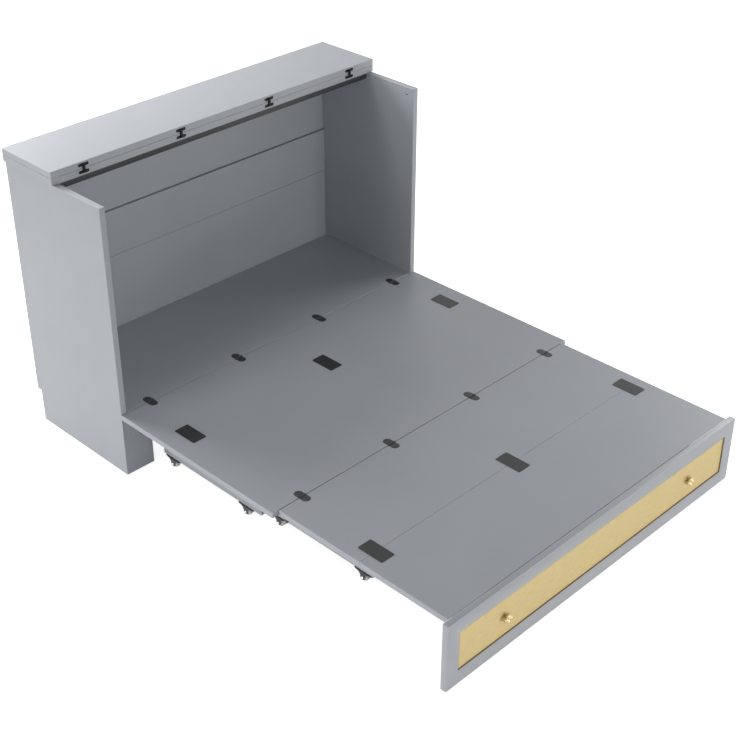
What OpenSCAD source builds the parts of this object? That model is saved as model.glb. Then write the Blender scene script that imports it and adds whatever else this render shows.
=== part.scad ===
// Cabinet bed, shown open: a low cabinet whose lid folds back, whose two deck leaves fold up
// inside it, and whose foot panel rolls out on nested caster frames to carry the leaves.
// X runs across the bed with zero at its middle, Y runs to the rear and Z is up from the floor.
// The modules take Y from the front edges of the side panels, and set_down() then moves the
// whole bed so that zero lies halfway along it.

/* [Cabinet] */
// Width over the two side panels
cabinet_w = 1446; // [1400:2:1500]
// Depth of a side panel, front to back
cabinet_d = 516; // [512:1:540]
// Height of a side panel
side_h = 1018; // [1000:1:1040]
// Thickness of a side panel
side_t = 22; // [18:0.5:25]
// Depth of the rear notch that clears a skirting board
skirt_notch_d = 23; // [10:1:40]
// Height of the skirting notch
skirt_notch_h = 126; // [80:1:160]
// Small chamfer that eases the edges of the boards
edge_ease = 1.2; // [0.6:0.1:1.6]
// Width of a front stile below the deck
stile_w = 74; // [66:1:84]
// Thickness of a front stile
stile_t = 18; // [12:1:24]
// Thickness of a guide board beside the frames' bay
guide_t = 22; // [16:0.5:24]
// Distance of the guide boards' rear ends from the cabinet's rear face
guide_rear_gap = 26; // [24:1:60]

/* [Back planks] */
// Thickness of a back plank
plank_t = 16; // [12:0.5:18]
// Distance of the rear face of the middle plank from the cabinet's rear face
plank_inset = 18; // [12:0.5:20]
// How far the lower plank lies behind the middle one
lower_plank_step = 1; // [0.5:0.5:4]
// How far the upper plank lies behind the middle one
upper_plank_step = 8; // [4:0.5:10]
// Height of the seam between the lower and the middle plank
lower_seam_z = 543; // [480:1:600]
// Height of the seam between the middle and the upper plank
upper_seam_z = 721; // [660:1:780]

/* [Lid] */
// Thickness of each half of the lid
lid_t = 24; // [18:0.5:28]
// Depth of each half of the lid
lid_half_d = 276; // [262:1:300]
// How far the lid stands past each side panel
lid_over = 7; // [0:1:20]
// Joint gap between the two halves
lid_joint = 0.6; // [0.4:0.1:2]
// Distance of the outer lid hinges from the side panels' inner faces
lid_hinge_inset = 98; // [60:1:180]
// Length of a hinge cup's oval face
cup_len = 42; // [34:1:50]
// Height of a hinge cup's oval face
cup_h = 11; // [9:0.5:14]
// Depth of a hinge cup in the edge
cup_d = 14; // [12:0.5:18]
// Width of a hinge link
link_w = 9; // [6:0.5:12]
// Length of a hinge link
link_len = 27; // [24:0.5:28]
// Thickness of a hinge link
link_t = 4; // [3:0.5:5]
// Height of the stiffening angle under the fixed half
stiffener_h = 20; // [8:0.5:26]
// Depth of the stiffening angle's flange
stiffener_d = 18; // [12:1:24]
// Wall of the stiffening angle
stiffener_wall = 2; // [1.5:0.5:3]

/* [Deck] */
// Height of the deck's top face above the floor
deck_top = 250; // [240:1:258]
// Thickness of the deck boards
deck_t = 20; // [16:0.5:24]
// Room between the raised middle leaf and the lid
lid_room = 7; // [4:1:20]
// From the foot seam to the back of the foot panel
foot_pitch = 699; // [680:1:700]
// Gap between the foot leaf and each side panel when it is folded in
foot_side_gap = 2; // [1.5:0.5:6]
// Half of the open seam at each hinge line
seam_half = 1; // [0.8:0.1:2]
// Height of the deck hinge pins above the deck's top face
pivot_rise = 1; // [0.9:0.1:1.5]
// Width of a grip pad across the bed
pad_w = 55; // [40:1:70]
// Length of a grip pad along the bed
pad_len = 100; // [70:1:120]
// Thickness of a grip pad
pad_t = 1.5; // [1:0.1:1.6]
// Corner radius of a grip pad
pad_corner = 4; // [2:0.5:8]
// Distance of the outer grip pads' middles from the middle leaf's sides
pad_inset = 95; // [80:1:160]
// Distance of the middle leaf's pads from the head seam
mid_pad_reach = 251; // [220:1:280]
// Length of a batten that joins the foot leaf's two boards
batten_len = 150; // [120:1:160]
// Width of a batten
batten_w = 60; // [40:1:80]
// Thickness of a batten
batten_t = 18; // [12:1:20]
// Distance of the outer battens' middles from the foot leaf's sides
batten_inset = 399; // [300:1:480]

/* [Deck hinges] */
// Distance of the outer deck hinges from the side panels' inner faces
deck_hinge_inset = 102; // [60:1:180]
// Width of a hinge leaf, which is also the length of its barrel
leaf_w = 31; // [24:0.5:34]
// Reach of a hinge leaf from its pin
leaf_len = 32.5; // [29:0.5:38]
// Thickness of a hinge leaf
leaf_t = 3; // [2.5:0.1:4]
// Radius of a hinge barrel
barrel_r = 2.6; // [2.4:0.1:3]
// Radius of a hinge pin
pin_r = 1.2; // [1:0.1:1.4]
// Length of the middle knuckle
knuckle_len = 11; // [8:0.5:14]
// Distance of the first screw from the pin
leaf_screw_first = 11; // [9:0.5:12]
// Distance between the two screws of a leaf
leaf_screw_pitch = 12; // [8:0.5:12]
// Radius of a wood screw's head
screw_head_r = 3.2; // [3:0.1:3.5]
// Radius of a wood screw's shank
screw_r = 1.5; // [1.2:0.1:2]
// Depth of a wood screw's countersunk head
screw_head_h = 1.7; // [1.5:0.1:2]
// Length of a wood screw
screw_len = 13; // [10:0.5:14]

/* [Foot panel] */
// Thickness of the foot panel
panel_t = 22; // [18:0.5:25]
// Gap between the foot panel and the side panels when it is rolled in
panel_rest_gap = 2; // [1.8:0.1:6]
// Gap between the foot panel and the floor
panel_floor_gap = 2; // [1:0.5:6]
// Width of the frame round the cane inset
border_w = 51; // [40:1:60]
// Thickness of the cane inset
cane_t = 4; // [3:0.5:6]
// Depth of the cane face behind the frame's face
cane_recess = 5; // [3:0.5:8]
// Distance of each knob from the foot panel's side
knob_inset = 255; // [160:1:320]
// Distance that a knob stands out from the cane
knob_reach = 22; // [20:1:36]
// Radius over a knob's four lobes
knob_r = 17; // [15:0.5:24]
// Radius of a knob's base
knob_base_r = 9; // [7:0.5:12]
// Radius of a knob's neck
knob_neck_r = 5; // [4.5:0.5:7]
// Thickness of a knob's base
knob_base_t = 3; // [2:0.5:4]
// Radius of a knob's screw
knob_screw_r = 2; // [1.5:0.1:2.5]
// Depth of a knob's screw in the knob
knob_screw_grip = 11; // [8:1:13]

/* [Rolling frames] */
// Thickness of a frame board
frame_t = 18; // [15:0.5:18]
// Distance between the middles of neighbouring frames' side boards
frame_pitch = 37; // [34:0.5:39]
// Gap between the outer frame's side boards and the guide boards
guide_gap = 25; // [16:0.5:28]
// Distance of the rear frame's back end in front of the cabinet
frame_start = 27; // [20:1:40]
// Overlap of neighbouring frames when they are drawn out
frame_overlap = 10; // [8:1:14]
// Room between the nested frames' back ends and at the cabinet's rear
nest_gap = 2; // [1.5:0.5:6]
// Room behind the rear frame when all is pushed in
tail_gap = 5; // [2:1:10]
// Thickness of the drawer's bottom
bottom_t = 6; // [4:0.5:9]
// Height of the drawer's bottom above the boards' lower edges
bottom_rise = 12; // [8:1:20]
// How far a tow lug and its stop overlap across the bed
lug_lap = 3; // [2:0.5:6]
// Height of a tow lug or stop
lug_h = 60; // [40:1:80]

/* [Casters] */
// Height of a caster
caster_h = 38; // [37:1:46]
// Radius of a caster wheel
wheel_r = 16; // [15:0.5:17]
// Width of a caster wheel
wheel_w = 16; // [12:0.5:17]
// Radius of a caster's axle
axle_r = 3; // [2.5:0.1:3.5]
// Radius of an axle's cap
axle_cap_r = 4.6; // [3.6:0.1:5]
// Thickness of an axle's cap
axle_cap_t = 2; // [1:0.5:2.2]
// Length of a caster's plate
plate_len = 81; // [76:1:86]
// Width of a caster's plate
plate_w = 25; // [24:0.5:26]
// Thickness of a caster's plate
plate_t = 3; // [2:0.5:4]
// Thickness of a fork cheek
cheek_t = 2.5; // [2:0.5:3]
// Radius of the lobe at a fork's foot
lobe_r = 9; // [7:0.5:10]
// Distance of the rear frame's back casters from its back end
rear_back_inset = 50; // [45:1:80]
// Distance of the rear frame's front casters from its front end
rear_front_inset = 76; // [50:1:80]
// Distance of the middle frame's back casters from its back end
middle_back_inset = 55; // [50:1:80]
// Distance of the middle frame's front casters from its front end
middle_front_inset = 45; // [43:1:70]
// Distance of the drawer's back casters from its back end
drawer_back_inset = 94; // [50:1:110]
// Distance of the drawer's front casters from the foot panel
drawer_front_inset = 70; // [50:1:90]
// Distance of a caster's screws from the axle
caster_screw_y = 32; // [29:0.5:34]

/* [Lock bolts] */
// Radius of a lock bolt
bolt_r = 3; // [2.5:0.1:3.5]
// Clearance of a lock bolt in its hole in the side panel
bolt_hole_gap = 0.5; // [0.4:0.1:1]
// Travel of a lock bolt
bolt_travel = 12; // [8:0.5:13]
// Depth of a lock bolt's hole
bolt_hole_d = 14; // [12:0.5:15]
// Length of a bolt's housing
housing_len = 50; // [40:1:60]
// Width of a bolt's housing
housing_w = 16; // [14:0.5:20]
// Thickness of a housing's foot plate
housing_foot_t = 2; // [1.5:0.5:3]
// Width of a housing's foot plate
housing_foot_w = 34; // [26:1:36]
// Distance of a bolt's axis from the underside of the foot leaf
bolt_drop = 14; // [12:0.5:16]
// Distance of a bolt's axis from the foot seam
bolt_reach = 23; // [20:0.5:30]
// Radius of a bolt's pull
pull_r = 7; // [6:0.5:8]
// Length of a bolt's pull
pull_len = 6; // [4:0.5:8]

/* [Cleats] */
// Side of a square support cleat
cleat_s = 20; // [16:1:24]
// Room at the ends of a cleat
cleat_gap = 6; // [4:1:12]

/* [Fit] */
// Clearance round a piece that is let into a board
fit_gap = 0.1; // [0.05:0.05:0.2]
// Running clearance on a radius
run_gap = 0.06; // [0.02:0.01:0.1]
// Gap between pieces that pass or rest near each other
pass_gap = 0.3; // [0.2:0.1:0.5]

/* [Hidden] */

$fn = 48;
// How far a cut runs past the face that it opens
over = 1;
// Radius of a knob's lobe, as a share of the knob's own radius
lobe_share = 0.48;
// Half height of the disc between a knob's lobes, as a share of a lobe's radius
core_share = 0.5;
// Ease of a wheel's edges, as a share of its width
tread_ease_share = 0.125;
// Depth of the groove for the drawer's bottom, as a share of a board's thickness
groove_share = 0.33;
grey = "#a9aeb4";
dark = "#2b2f31";
steel = "#4a4d50";
brass = "#c9a75a";
cane = "#cfba86";

half_w = cabinet_w / 2;
inner_x = half_w - side_t;
deck_under = deck_top - deck_t;
pivot_z = deck_top + pivot_rise;
mid_pitch = side_h - deck_top - lid_room;
foot_seam_y = -mid_pitch;
panel_rear_y = foot_seam_y - foot_pitch;
panel_front_y = panel_rear_y - panel_t;
plank_front_y = cabinet_d - plank_inset - plank_t;

lid_front_y = cabinet_d - lid_half_d;
lid_pivot_z = side_h + lid_t + lid_joint / 2;
lid_hinge_xs = even_row(inner_x - lid_hinge_inset);
link_reach = sqrt(pow(link_len / 2, 2) + pow(link_t + lid_joint, 2));

deck_hinge_xs = even_row(inner_x - deck_hinge_inset);
leaf_screw_ys = [leaf_screw_first, leaf_screw_first + leaf_screw_pitch];
foot_leaf_x = inner_x - foot_side_gap;
pad_x = half_w - pad_inset;
batten_x = foot_leaf_x - batten_inset;
foot_board_len = (foot_pitch - 2 * seam_half) / 2;
foot_joint_y = foot_seam_y - seam_half - foot_board_len;

// The foot panel moves in at a steady rate while the leaves swing up, so the outer board's
// front edge is cut back below by as much as the panel has moved when that level clears it.
panel_travel = -panel_rear_y - panel_rest_gap;
undercut = deck_t * panel_travel / (PI / 2) / -panel_rear_y + seam_half / 2;

frame_top = deck_under - pass_gap;
frame_bottom = caster_h;
rear_frame_x = half_w - side_t - stile_w - guide_t - guide_gap - frame_t / 2;
middle_frame_x = rear_frame_x - frame_pitch;
drawer_x = middle_frame_x - frame_pitch;
lug_t = (frame_pitch - frame_t + lug_lap) / 2;
rear_frame_len = cabinet_d - tail_gap - seam_half;
middle_frame_len = rear_frame_len - frame_t - nest_gap;
rear_frame_end = -frame_start;
middle_frame_end = rear_frame_end - rear_frame_len + frame_overlap;
drawer_end = middle_frame_end - middle_frame_len + frame_overlap;
rear_frame_front = rear_frame_end - rear_frame_len;
middle_frame_front = middle_frame_end - middle_frame_len;

rear_caster_ys = [rear_frame_end - rear_back_inset, rear_frame_front + rear_front_inset];
middle_caster_ys = [middle_frame_end - middle_back_inset,
    middle_frame_front + middle_front_inset];
drawer_caster_ys = [drawer_end - drawer_back_inset, panel_rear_y + drawer_front_inset];

inset_x = half_w - border_w;
inset_z0 = panel_floor_gap + border_w;
inset_z1 = deck_top - border_w;
cane_y = panel_front_y + cane_recess;
knob_x = half_w - knob_inset;
knob_z = (inset_z0 + inset_z1) / 2;
middle_y = (cabinet_d + cane_y - knob_reach) / 2;

bolt_y = foot_seam_y - bolt_reach;
bolt_z = deck_under - bolt_drop;
bolt_tip_x = foot_leaf_x - seam_half;
housing_out_x = bolt_tip_x - bolt_travel / 2;
housing_in_x = housing_out_x - housing_len;
pull_x = housing_in_x - bolt_travel - 2 * seam_half - pull_len;
bolt_hole_y = pivot_rise + deck_t + bolt_drop;
bolt_hole_z = pivot_z + mid_pitch - bolt_reach;

// The places of four hinges in an even row, out to a distance from the middle
function even_row(x) = [-x, -x / 3, x / 3, x];

// Moves what is drawn so that zero lies halfway along the whole bed
module set_down() {
    translate([0, -middle_y, 0]) children();
}

// A plain block between two corners
module block(low, high) {
    translate(low) cube(high - low);
}

// A rectangle with its corners cut at 45 degrees
module cut_rectangle(w, h, ease) {
    polygon([[ease, 0], [w - ease, 0], [w, ease], [w, h - ease],
        [w - ease, h], [ease, h], [0, h - ease], [0, ease]]);
}

// A board between two corners, with its twelve edges eased
module board(low, high, ease = edge_ease) {
    size = high - low;
    translate(low) intersection() {
        linear_extrude(size[2]) cut_rectangle(size[0], size[1], ease);
        translate([0, size[1], 0]) rotate([90, 0, 0])
            linear_extrude(size[1]) cut_rectangle(size[0], size[2], ease);
        rotate([90, 0, 90]) linear_extrude(size[0]) cut_rectangle(size[1], size[2], ease);
    }
}

// A rod along X, centred at a place
module rod_x(place, r, len) {
    translate([place[0] - len / 2, place[1], place[2]]) rotate([0, 90, 0])
        cylinder(r = r, h = len);
}

// A flat shape with round ends, long along its first axis
module oval(len, w) {
    square([len - w, w], center = true);
    for (s = [-1, 1])
        translate([s * (len - w) / 2, 0]) circle(r = w / 2);
}

// Both sides of the bed: the children are drawn at the left and mirrored to the right
module both_sides() {
    children();
    mirror([1, 0, 0]) children();
}

// A countersunk wood screw, head up and flush with the origin
module wood_screw(grow = 0) {
    translate([0, 0, -screw_head_h])
        cylinder(r1 = screw_r + grow, r2 = screw_head_r + grow, h = screw_head_h);
    translate([0, 0, -screw_len - grow])
        cylinder(r = screw_r + grow, h = screw_len - screw_head_h + grow);
}

// Outline of one deck hinge leaf, reaching along Y from the pin
module leaf_outline(grow = 0) {
    round_y = leaf_len - leaf_w / 2;
    translate([-leaf_w / 2 - grow, seam_half])
        square([leaf_w + 2 * grow, round_y - seam_half]);
    translate([0, round_y]) circle(r = leaf_w / 2 + grow);
}

// The knuckles of one leaf: the middle one, or the two outer ones
module knuckles(is_middle, r) {
    outer_len = (leaf_w - knuckle_len) / 2 - pass_gap;
    if (is_middle)
        rod_x([0, 0, pivot_rise], r, knuckle_len);
    else
        for (s = [-1, 1])
            rod_x([s * (leaf_w - outer_len) / 2, 0, pivot_rise], r, outer_len);
}

// One deck hinge leaf with its own screws, at a pin that lies on the deck's top face
module hinge_leaf(is_middle) {
    outer_gap = leaf_w + 2 * fit_gap;
    difference() {
        union() {
            translate([0, 0, -leaf_t]) linear_extrude(leaf_t) leaf_outline();
            knuckles(is_middle, barrel_r);
        }
        intersection() {
            rod_x([0, 0, pivot_rise], barrel_r + pass_gap, outer_gap);
            if (is_middle)
                for (s = [-1, 1])
                    translate([s * (knuckle_len + outer_gap) / 2, 0, 0])
                        cube([outer_gap, 4 * barrel_r, 4 * barrel_r], center = true);
            else
                cube([knuckle_len + 2 * pass_gap, 4 * barrel_r, 4 * barrel_r], center = true);
        }
        rod_x([0, 0, pivot_rise], pin_r + run_gap, outer_gap);
        for (y = leaf_screw_ys)
            translate([0, y, 0]) wood_screw(fit_gap);
    }
    for (y = leaf_screw_ys)
        translate([0, y, 0]) wood_screw();
}

// Leaves at a seam, reaching to the rear (1) or to the front (-1)
module hinge_leaves(seam_y, toward, is_middle) {
    for (x = deck_hinge_xs)
        translate([x, seam_y, deck_top])
            mirror([0, toward < 0 ? 1 : 0, 0]) hinge_leaf(is_middle);
}

// The cuts in a deck board for a row of leaves at a seam
module hinge_seats(seam_y, toward) {
    for (x = deck_hinge_xs)
        translate([x, seam_y, deck_top]) mirror([0, toward < 0 ? 1 : 0, 0]) {
            translate([0, 0, -leaf_t]) linear_extrude(leaf_t + over) leaf_outline(fit_gap);
            rod_x([0, 0, pivot_rise], barrel_r + pass_gap, leaf_w + 2 * pass_gap);
            translate([-leaf_w / 2 - fit_gap, 0, -leaf_t])
                cube([leaf_w + 2 * fit_gap, 2 * seam_half, leaf_t + over]);
            for (y = leaf_screw_ys)
                translate([0, y, 0]) wood_screw(fit_gap);
        }
}

// The four pins at a seam
module hinge_pins(seam_y) {
    for (x = deck_hinge_xs)
        rod_x([x, seam_y, pivot_z], pin_r, leaf_w);
}

// A row of three grip pads
module grip_pads(y) {
    for (x = [-pad_x, 0, pad_x])
        translate([x, y, deck_top]) linear_extrude(pad_t) {
            square([pad_w - 2 * pad_corner, pad_len], center = true);
            square([pad_w, pad_len - 2 * pad_corner], center = true);
            for (i = [-1, 1], j = [-1, 1])
                translate([i * (pad_w / 2 - pad_corner), j * (pad_len / 2 - pad_corner)])
                    circle(r = pad_corner);
        }
}

// Side profile of a fork cheek, from its lobe at the axle up to the plate
module cheek_profile() {
    rise = caster_h - plate_t - wheel_r;
    half_top = lobe_r + rise;
    difference() {
        translate([-half_top, wheel_r]) square([2 * half_top, rise]);
        for (s = [-1, 1])
            translate([s * half_top, wheel_r]) circle(r = rise);
    }
    translate([0, wheel_r]) circle(r = lobe_r);
}

// One caster's plate and fork, with its axle and its two screws as solids of their own
module caster_fork() {
    cheek_x = plate_w / 2 - cheek_t;
    axle_len = plate_w + 2 * fit_gap;
    difference() {
        union() {
            block([-plate_w / 2, -plate_len / 2, caster_h - plate_t],
                [plate_w / 2, plate_len / 2, caster_h]);
            for (x = [-plate_w / 2, cheek_x])
                translate([x, 0, 0]) rotate([90, 0, 90]) linear_extrude(cheek_t)
                    cheek_profile();
        }
        rod_x([0, 0, wheel_r], axle_r + fit_gap, plate_w + over);
        for (y = [-caster_screw_y, caster_screw_y])
            translate([0, y, caster_h - plate_t]) mirror([0, 0, 1]) wood_screw(fit_gap);
    }
    rod_x([0, 0, wheel_r], axle_r, axle_len);
    for (s = [-1, 1])
        rod_x([s * (axle_len + axle_cap_t) / 2, 0, wheel_r], axle_cap_r, axle_cap_t);
    for (y = [-caster_screw_y, caster_screw_y])
        translate([0, y, caster_h - plate_t]) mirror([0, 0, 1]) wood_screw();
}

// The four casters of a frame, at its side boards
module caster_forks(x, ys) {
    for (s = [-1, 1], y = ys)
        translate([s * x, y, 0]) caster_fork();
}

// The pilot holes of a frame's caster screws
module caster_screw_holes(x, ys) {
    for (s = [-1, 1], y = ys, j = [-caster_screw_y, caster_screw_y])
        translate([s * x, y + j, caster_h - plate_t]) mirror([0, 0, 1]) wood_screw(fit_gap);
}

// One caster wheel, with its bore, numbered left back, right back, left front, right front
module caster_wheel(x, ys, number) {
    s = number % 2 == 1 ? -1 : 1;
    ease = wheel_w * tread_ease_share;
    translate([s * x, ys[number > 2 ? 1 : 0], wheel_r]) rotate([0, 90, 0])
        rotate_extrude() polygon([[axle_r + run_gap, -wheel_w / 2],
            [wheel_r - ease, -wheel_w / 2], [wheel_r, -wheel_w / 2 + ease],
            [wheel_r, wheel_w / 2 - ease], [wheel_r - ease, wheel_w / 2],
            [axle_r + run_gap, wheel_w / 2]]);
}

// The two side boards of a rolling frame
module frame_sides(x, front, back, ys) {
    difference() {
        both_sides()
            board([-x - frame_t / 2, front, frame_bottom],
                [-x + frame_t / 2, back, frame_top]);
        caster_screw_holes(x, ys);
    }
}

// The board across a rolling frame's back end
module frame_back(x, back, top) {
    board([-x + frame_t / 2, back - frame_t, frame_bottom], [x - frame_t / 2, back, top]);
}

// A lug on the outside of an inner frame's back end
module tow_lugs(x, back) {
    z = (frame_bottom + frame_top) / 2;
    both_sides()
        block([-x - frame_t / 2 - lug_t, back - frame_overlap / 2 + pass_gap, z - lug_h / 2],
            [-x - frame_t / 2, back, z + lug_h / 2]);
}

// A stop on the inside of an outer frame's front end
module tow_stops(x, front) {
    z = (frame_bottom + frame_top) / 2;
    both_sides()
        block([-x + frame_t / 2, front, z - lug_h / 2],
            [-x + frame_t / 2 + lug_t, front + frame_overlap / 2, z + lug_h / 2]);
}

module side_panel() {
    color(grey) difference() {
        board([-half_w, 0, 0], [-inner_x, cabinet_d, side_h]);
        block([-half_w - over, cabinet_d - skirt_notch_d, -over],
            [-inner_x + over, cabinet_d + over, skirt_notch_h]);
        rod_x([-inner_x, bolt_hole_y, bolt_hole_z], bolt_r + bolt_hole_gap, 2 * bolt_hole_d);
    }
}

module side_panel_left() {
    side_panel();
}

module side_panel_right() {
    mirror([1, 0, 0]) side_panel();
}

// One plank of the back, set a step behind the middle one
module back_plank(z0, z1, step) {
    color(grey) board([-inner_x, plank_front_y + step, z0],
        [inner_x, plank_front_y + step + plank_t, z1]);
}

module back_plank_lower() {
    back_plank(deck_under, lower_seam_z, lower_plank_step);
}

module back_plank_middle() {
    back_plank(lower_seam_z, upper_seam_z, 0);
}

module back_plank_upper() {
    back_plank(upper_seam_z, side_h, upper_plank_step);
}

module rear_deck() {
    color(grey) difference() {
        board([-inner_x, seam_half, deck_under],
            [inner_x, plank_front_y + lower_plank_step, deck_top]);
        hinge_seats(0, 1);
    }
}

module front_stiles() {
    color(grey) both_sides()
        board([-inner_x, 0, 0], [-inner_x + stile_w, stile_t, deck_under]);
}

module bay_guides() {
    color(grey) both_sides()
        board([-inner_x + stile_w, 0, 0],
            [-inner_x + stile_w + guide_t, cabinet_d - guide_rear_gap, deck_under]);
}

module support_cleats() {
    color(grey) both_sides() {
        board([-inner_x, stile_t + cleat_gap, deck_under - cleat_s],
            [-inner_x + cleat_s, plank_front_y - cleat_gap, deck_under]);
        board([-inner_x, lid_front_y + stiffener_d + cleat_gap, side_h - cleat_s],
            [-inner_x + cleat_s, plank_front_y - cleat_gap, side_h]);
    }
}

// Outline of a hinge cup's face in the lid's edge, standing in X and Z
module cup_shape(depth, grow = 0) {
    rotate([90, 0, 0]) translate([0, 0, -depth]) linear_extrude(depth)
        oval(cup_len + 2 * grow, cup_h + 2 * grow);
}

// The cuts for the hinges in the lower half's edge; the upper half's are their mirror image
module lid_hinge_seats() {
    for (x = lid_hinge_xs)
        translate([x, lid_front_y, lid_pivot_z]) {
            translate([0, 0, -(lid_t + lid_joint) / 2]) cup_shape(cup_d, fit_gap);
            rod_x([0, 0, 0], link_reach + pass_gap, link_w + 2 * pass_gap);
        }
}

// Reflects the children from the lower half of the lid to the upper one
module upper_half() {
    translate([0, 0, 2 * lid_pivot_z]) mirror([0, 0, 1]) children();
}

module lid_half(relief) {
    color(grey) difference() {
        board([-half_w - lid_over, lid_front_y + lid_joint / 2, side_h + relief],
            [half_w + lid_over, cabinet_d, side_h + lid_t]);
        lid_hinge_seats();
    }
}

module lid_rear_half() {
    lid_half(0);
}

module lid_front_half() {
    upper_half() lid_half(pass_gap);
}

module lid_stiffener() {
    span_x = inner_x - cleat_gap;
    front = lid_front_y + stiffener_wall;
    color(dark) {
        block([-span_x, front, side_h - stiffener_wall],
            [span_x, front + stiffener_d, side_h]);
        block([-span_x, front, side_h - stiffener_h],
            [span_x, front + stiffener_wall, side_h]);
    }
}

module lid_hinge_cups() {
    color(dark) for (x = lid_hinge_xs)
        translate([x, lid_front_y + lid_joint / 2, lid_pivot_z]) difference() {
            translate([0, 0, -(lid_t + lid_joint) / 2]) cup_shape(cup_d - lid_joint / 2);
            rod_x([0, -lid_joint / 2, 0], link_reach + pass_gap, link_w + 2 * pass_gap);
        }
}

module lid_hinge_cups_rear() {
    lid_hinge_cups();
}

module lid_hinge_cups_front() {
    upper_half() lid_hinge_cups();
}

module lid_hinge_links() {
    near = lid_front_y - lid_joint;
    color(dark) for (x = lid_hinge_xs)
        translate([x, near, lid_pivot_z]) rotate([90, 0, 0]) rotate([0, 0, 90])
            linear_extrude(link_t) oval(link_len, link_w);
}

module head_hinge_leaves() {
    color(dark) hinge_leaves(0, 1, false);
}

module head_hinge_pins() {
    color(steel) hinge_pins(0);
}

module mid_deck() {
    color(grey) difference() {
        board([-half_w, foot_seam_y + seam_half, deck_under], [half_w, -seam_half, deck_top]);
        hinge_seats(0, -1);
        hinge_seats(foot_seam_y, 1);
    }
}

module mid_hinge_leaves() {
    color(dark) {
        hinge_leaves(0, -1, true);
        hinge_leaves(foot_seam_y, 1, false);
    }
}

module foot_hinge_pins() {
    color(steel) hinge_pins(foot_seam_y);
}

module grip_pads_mid() {
    color(dark) grip_pads(-mid_pad_reach);
}

module foot_deck_inner_board() {
    color(grey) difference() {
        board([-foot_leaf_x, foot_joint_y, deck_under],
            [foot_leaf_x, foot_seam_y - seam_half, deck_top]);
        hinge_seats(foot_seam_y, -1);
    }
}

module foot_deck_outer_board() {
    front = panel_rear_y + seam_half;
    color(grey) difference() {
        board([-foot_leaf_x, front, deck_under], [foot_leaf_x, foot_joint_y, deck_top]);
        translate([-foot_leaf_x - over, front, deck_under]) rotate([90, 0, 90])
            linear_extrude(2 * foot_leaf_x + 2 * over)
                polygon([[-over, -over], [undercut, -over], [undercut, 0],
                    [edge_ease / 2, deck_t - edge_ease], [-over, deck_t - edge_ease]]);
    }
}

module foot_deck_battens() {
    color(grey) for (x = [-batten_x, 0, batten_x])
        board([x - batten_w / 2, foot_joint_y - batten_len / 2, deck_under - batten_t],
            [x + batten_w / 2, foot_joint_y + batten_len / 2, deck_under]);
}

module foot_hinge_leaves() {
    color(dark) hinge_leaves(foot_seam_y, -1, true);
}

module grip_pads_foot() {
    color(dark) grip_pads(foot_joint_y);
}

module bolt_housings() {
    color(dark) both_sides() difference() {
        union() {
            block([-housing_out_x, bolt_y - housing_foot_w / 2, deck_under - housing_foot_t],
                [-housing_in_x, bolt_y + housing_foot_w / 2, deck_under]);
            block([-housing_out_x, bolt_y - housing_w / 2, bolt_z - housing_w / 2],
                [-housing_in_x, bolt_y + housing_w / 2, deck_under]);
        }
        rod_x([-bolt_tip_x, bolt_y, bolt_z], bolt_r + run_gap, 3 * housing_len);
    }
}

module lock_bolt() {
    rod_len = bolt_tip_x - pull_x;
    color(steel) {
        rod_x([-bolt_tip_x + rod_len / 2, bolt_y, bolt_z], bolt_r, rod_len);
        rod_x([-pull_x - pull_len / 2, bolt_y, bolt_z], pull_r, pull_len);
    }
}

module lock_bolt_left() {
    lock_bolt();
}

module lock_bolt_right() {
    mirror([1, 0, 0]) lock_bolt();
}

module foot_panel_rails() {
    color(grey) for (z = [panel_floor_gap, inset_z1])
        board([-inset_x, panel_front_y, z], [inset_x, panel_rear_y, z + border_w]);
}

module foot_panel_stiles() {
    color(grey) both_sides()
        board([-half_w, panel_front_y, panel_floor_gap], [-inset_x, panel_rear_y, deck_top]);
}

// A knob's screw, from the back of the backing into the knob
module knob_screw(grow = 0) {
    back_y = panel_rear_y - cane_t / 2;
    len = back_y - cane_y + knob_screw_grip + grow;
    translate([0, back_y, 0]) rotate([90, 0, 0]) cylinder(r = knob_screw_r + grow, h = len);
    translate([0, panel_rear_y + (grow > 0 ? over : 0), 0]) rotate([90, 0, 0])
        cylinder(r = 2 * knob_screw_r + grow, h = cane_t / 2 + (grow > 0 ? over : 0));
}

module knob_screw_holes() {
    for (x = [-knob_x, knob_x])
        translate([x, 0, knob_z]) knob_screw(fit_gap);
}

module cane_inset() {
    color(cane) difference() {
        block([-inset_x, cane_y, inset_z0], [inset_x, cane_y + cane_t, inset_z1]);
        knob_screw_holes();
    }
}

module inset_backing() {
    color(grey) difference() {
        block([-inset_x, cane_y + cane_t, inset_z0], [inset_x, panel_rear_y, inset_z1]);
        knob_screw_holes();
    }
}

// A knob standing along Z from its base: a disc, a neck and a head of four lobes
module knob_form() {
    lobe = knob_r * lobe_share;
    core = lobe * core_share;
    cylinder(r = knob_base_r, h = knob_base_t);
    cylinder(r = knob_neck_r, h = knob_reach - lobe);
    for (a = [0:90:270])
        rotate([0, 0, a]) translate([knob_r - lobe, 0, knob_reach - lobe])
            sphere(r = lobe);
    translate([0, 0, knob_reach - lobe - core])
        cylinder(r = knob_r - lobe, h = 2 * core);
}

module knobs() {
    color(brass) for (x = [-knob_x, knob_x]) {
        difference() {
            translate([x, cane_y, knob_z]) rotate([90, 0, 0]) knob_form();
            translate([x, 0, knob_z]) knob_screw(fit_gap);
        }
        translate([x, 0, knob_z]) knob_screw();
    }
}

// The groove that holds the drawer's bottom
module bottom_space(grow) {
    groove = frame_t * groove_share;
    z = frame_bottom + bottom_rise;
    block([-drawer_x + frame_t / 2 - groove - grow, panel_rear_y, z - grow],
        [drawer_x - frame_t / 2 + groove + grow, drawer_end - frame_t + groove + grow,
            z + bottom_t + grow]);
}

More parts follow.
